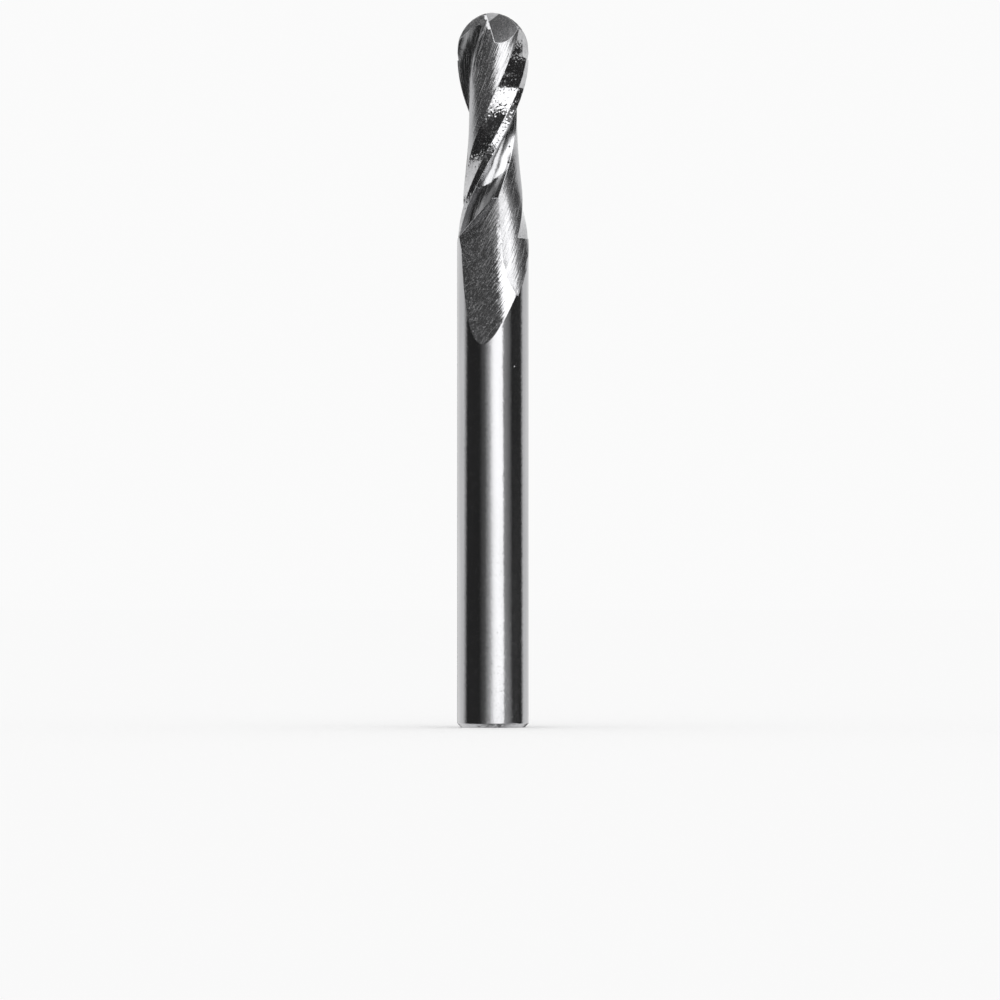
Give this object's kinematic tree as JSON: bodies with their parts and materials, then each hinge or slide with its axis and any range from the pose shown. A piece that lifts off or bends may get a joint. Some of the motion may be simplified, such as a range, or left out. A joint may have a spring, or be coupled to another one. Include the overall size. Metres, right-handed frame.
{
  "type": "ball nose router bit",
  "caption": "Solid carbide ball nose router bit with right-hand helical flutes and a plain round shank.",
  "frame": {"origin": "centre of the flat end of the shank, on the axis", "axes": "+Z along the axis from the shank end to the ball; one cutting edge leaves the ball 8.7 degrees anticlockwise of +X, seen from the ball"},
  "size_m": [0.0064, 0.0064, 0.0634],
  "materials": {
    "carbide": "bright ground cemented carbide"
  },
  "bodies": {
    "root": {"router_bit": "carbide"}
  },
  "joints": []
}
